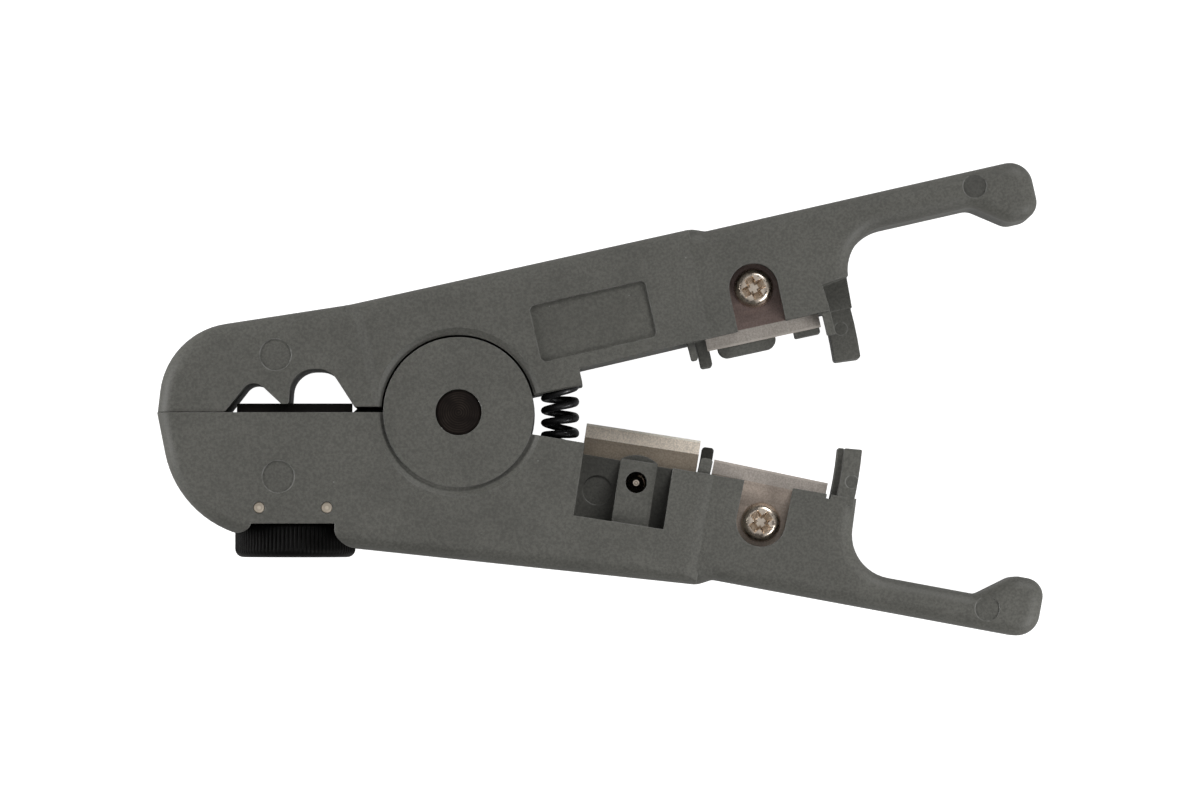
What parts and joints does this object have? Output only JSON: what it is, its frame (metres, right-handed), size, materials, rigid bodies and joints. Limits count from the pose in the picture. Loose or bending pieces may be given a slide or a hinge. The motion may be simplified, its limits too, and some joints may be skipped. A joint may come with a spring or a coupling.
{
  "type": "cable jacket stripper",
  "caption": "Hand tool that strips and cuts cable: two sprung moulded arms on a pivot, facing strip blades, a cutter, and a notched nose with a blade raised by a thumb wheel.",
  "frame": {"origin": "on the handle pivot's axis, in the plane of the flat back that the tool lies on", "axes": "+X from the nose towards the handle ends, +Y towards the upper arm, +Z out of the front face that shows the screws"},
  "size_m": [0.126, 0.0673, 0.02],
  "materials": {
    "grey_plastic": "fine moulded grain",
    "black_plastic": "semi matte",
    "blade_steel": "ground",
    "dark_blade": "blackened",
    "nickel": "nickel plated",
    "pin_steel": "drawn wire",
    "dark_pin": "brown black",
    "black_spring": "blackened wire"
  },
  "bodies": {
    "lower_body": {"lower_arm": "grey_plastic", "pivot_pin": "dark_pin", "handle_spring": "black_spring", "cutter_blade": "blade_steel", "cutter_screw": "nickel", "lower_strip_blade": "blade_steel", "lower_strip_screw": "nickel", "wheel_pin_left": "pin_steel", "wheel_pin_right": "pin_steel"},
    "upper_body": {"upper_arm": "grey_plastic", "upper_strip_blade": "blade_steel", "upper_strip_screw": "nickel"},
    "wheel_body": {"thumb_wheel": "black_plastic", "wheel_stud": "dark_pin"},
    "holder_body": {"blade_holder": "black_plastic", "nose_blade": "dark_blade", "nose_blade_screw": "nickel"}
  },
  "joints": [
    {"name": "handle_pivot", "type": "hinge", "parent": "lower_body", "child": "upper_body", "pos_m": [0, 0, 0.01], "axis": [0, 0, 1], "range_deg": [-22.8, 0], "stiffness_Nm_per_rad": 0.6, "springref_deg": 20.05, "deforming": ["handle_spring"]},
    {"name": "wheel_spin", "type": "hinge", "parent": "lower_body", "child": "wheel_body", "pos_m": [-0.0235, -0.018, 0.01], "axis": [0, 1, 0], "range_deg": [-545, 0]},
    {"name": "blade_slide", "type": "slide", "parent": "lower_body", "child": "holder_body", "axis": [0, 1, 0], "range_m": [-0.00105, 0]}
  ],
  "couplings": [
    {"joint": "wheel_spin", "follows": "blade_slide", "rad_per_m": 8976}
  ]
}
